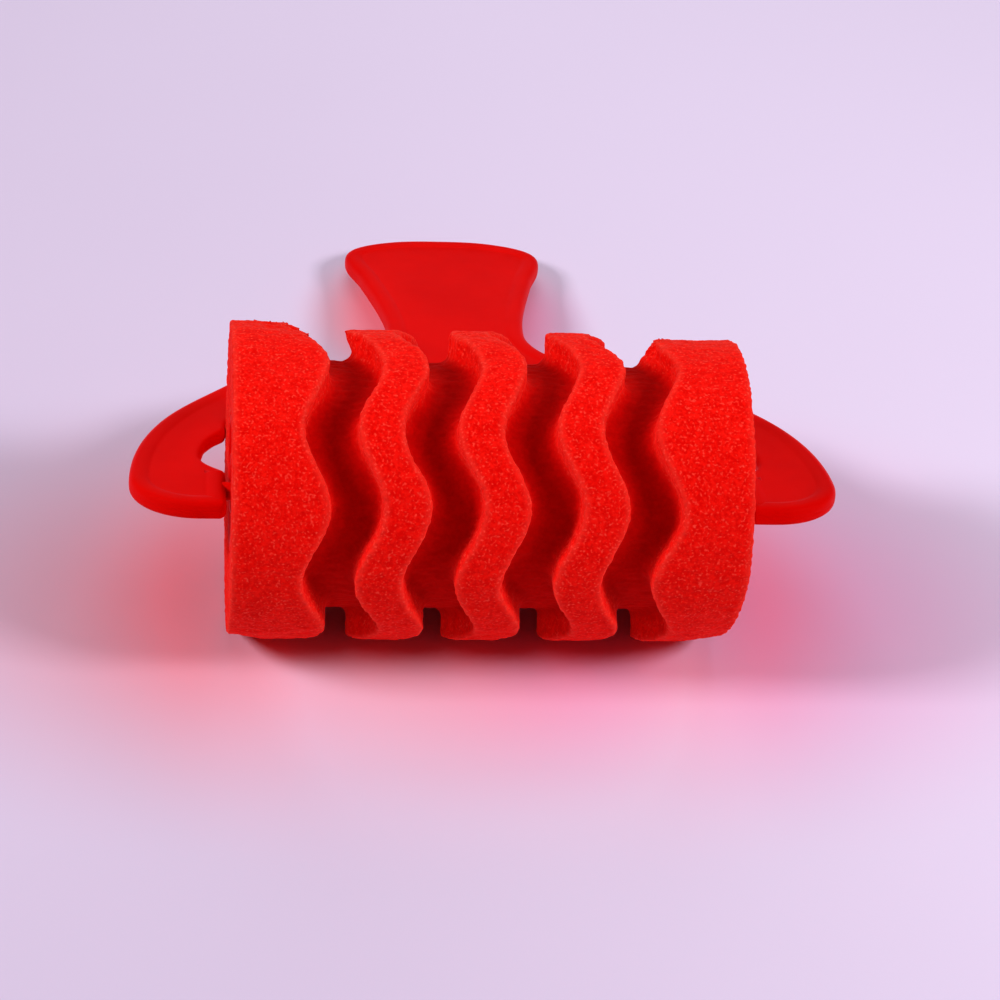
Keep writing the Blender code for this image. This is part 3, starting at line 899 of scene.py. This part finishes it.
def sleeve_piece():
    """The sleeve as one closed grid, its groove depth and fray kept as attributes for the finish."""
    points, depth, fray_and_rim_light = sleeve_points()
    rows, columns = points.shape[:2]
    faces = sheet_faces(rows, columns)
    mesh = bpy.data.meshes.new("sleeve")
    mesh.vertices.add(rows * columns)
    mesh.vertices.foreach_set("co", points.reshape(-1))
    mesh.loops.add(len(faces) * 4)
    mesh.loops.foreach_set("vertex_index", faces.reshape(-1).astype(np.int32))
    mesh.polygons.add(len(faces))
    mesh.polygons.foreach_set("loop_start", np.arange(len(faces), dtype=np.int32) * 4)
    mesh.update(calc_edges=True)
    mesh.validate()
    for name, values in (("groove_depth", depth), ("fray_and_rim_light", fray_and_rim_light)):
        kept = mesh.attributes.new(name, "FLOAT", "POINT")
        kept.data.foreach_set("value", values.reshape(-1).astype(np.float32))
    mesh.shade_smooth()
    mesh.materials.append(red_foam())
    piece = bpy.data.objects.new("sleeve", mesh)
    bpy.context.scene.collection.objects.link(piece)
    return piece


sleeve = sleeve_piece()
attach(sleeve, "roller")
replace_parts(sleeve, "foam_sleeve")


# Core and bushes
# The sleeve is glued on an extruded plastic tube. A moulded bush with a flange and a raised ring is pressed
# into each of its ends, flush with the foam, and the handle's pin turns in its hole.
CORE_RADIUS = 0.0110
CORE_WALL = 0.0016
BUSH_GAP = 0.0003
FLANGE = 0.0014
BUSH_DEPTH = 0.0100
HOLE_GAP = 0.0003
BUSH_SIDES = 128
SHARP_DEG = 40.0
CORE_WHITE = (0.80, 0.78, 0.74)
CORE_DEEP = (0.76, 0.74, 0.70)
CORE_PALE = (0.83, 0.81, 0.77)


def bush_piece(name, side):
    """The bush's section, a flange, a shoulder and a raised ring round its hole, carried round the axis."""
    face = FOAM_HALF_LENGTH
    inner = CORE_RADIUS - CORE_WALL - BUSH_GAP
    hole = PIN_RADIUS + PIN_DROP + HOLE_GAP
    shoulder = face - FLANGE
    back = face - BUSH_DEPTH
    profile = [
        (back, hole),
        (back, inner - 0.0005),
        (back + 0.0005, inner),
        (shoulder, inner),
        (shoulder, CORE_RADIUS - 0.0001),
        (shoulder + 0.0001, CORE_RADIUS),
        (face - 0.0005, CORE_RADIUS),
        (face - 0.00034, CORE_RADIUS - 0.00004),
        (face - 0.00015, CORE_RADIUS - 0.00016),
        (face - 0.00004, CORE_RADIUS - 0.00034),
        (face, CORE_RADIUS - 0.0006),
        (face, CORE_RADIUS - 0.0014),
        (face - 0.00005, CORE_RADIUS - 0.0017),
        (face - 0.0004, CORE_RADIUS - 0.0021),
        (face - 0.0005, CORE_RADIUS - 0.0024),
        (face - 0.0005, hole + 0.0017),
        (face - 0.0004, hole + 0.0014),
        (face - 0.00005, hole + 0.0011),
        (face, hole + 0.0009),
        (face, hole + 0.0005),
        (face - 0.00015, hole + 0.00015),
        (face - 0.0005, hole),
    ]
    points = turned_points([(side * along, radius) for along, radius in profile], BUSH_SIDES)
    piece = mesh_piece(name, points + AXLE, sheet_faces(BUSH_SIDES, len(profile)), plastic)
    piece.data.set_sharp_from_angle(angle=math.radians(SHARP_DEG))
    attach(piece, "roller")
    return piece


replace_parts(bush_piece("bush_left", -1), "end_bush_left")
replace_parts(bush_piece("bush_right", 1), "end_bush_right")


def white_plastic():
    """Plain extruded tube, off-white, with fine lines along its length."""
    finish, shader, start = finish_of("white_plastic", CORE_WHITE, 0.45)
    place = start.node("ShaderNodeTexCoord", output="Object")
    drawn = start.node("ShaderNodeMapping", None, {"Vector": place, "Scale": (20.0, 1600.0, 1600.0)})
    line = drawn.noise(1.0, 2.0)
    colour = line.between(0.2, 0.8).tint(CORE_DEEP, CORE_PALE)
    bump = start.node("ShaderNodeBump", None, {"Height": line, "Strength": 0.3, "Distance": 0.00003})
    wire(start, shader, Base_Color=colour, Normal=bump)
    return finish


core_mesh = frame["nodes"]["core_tube"].data
core_mesh.materials.clear()
core_mesh.materials.append(white_plastic())
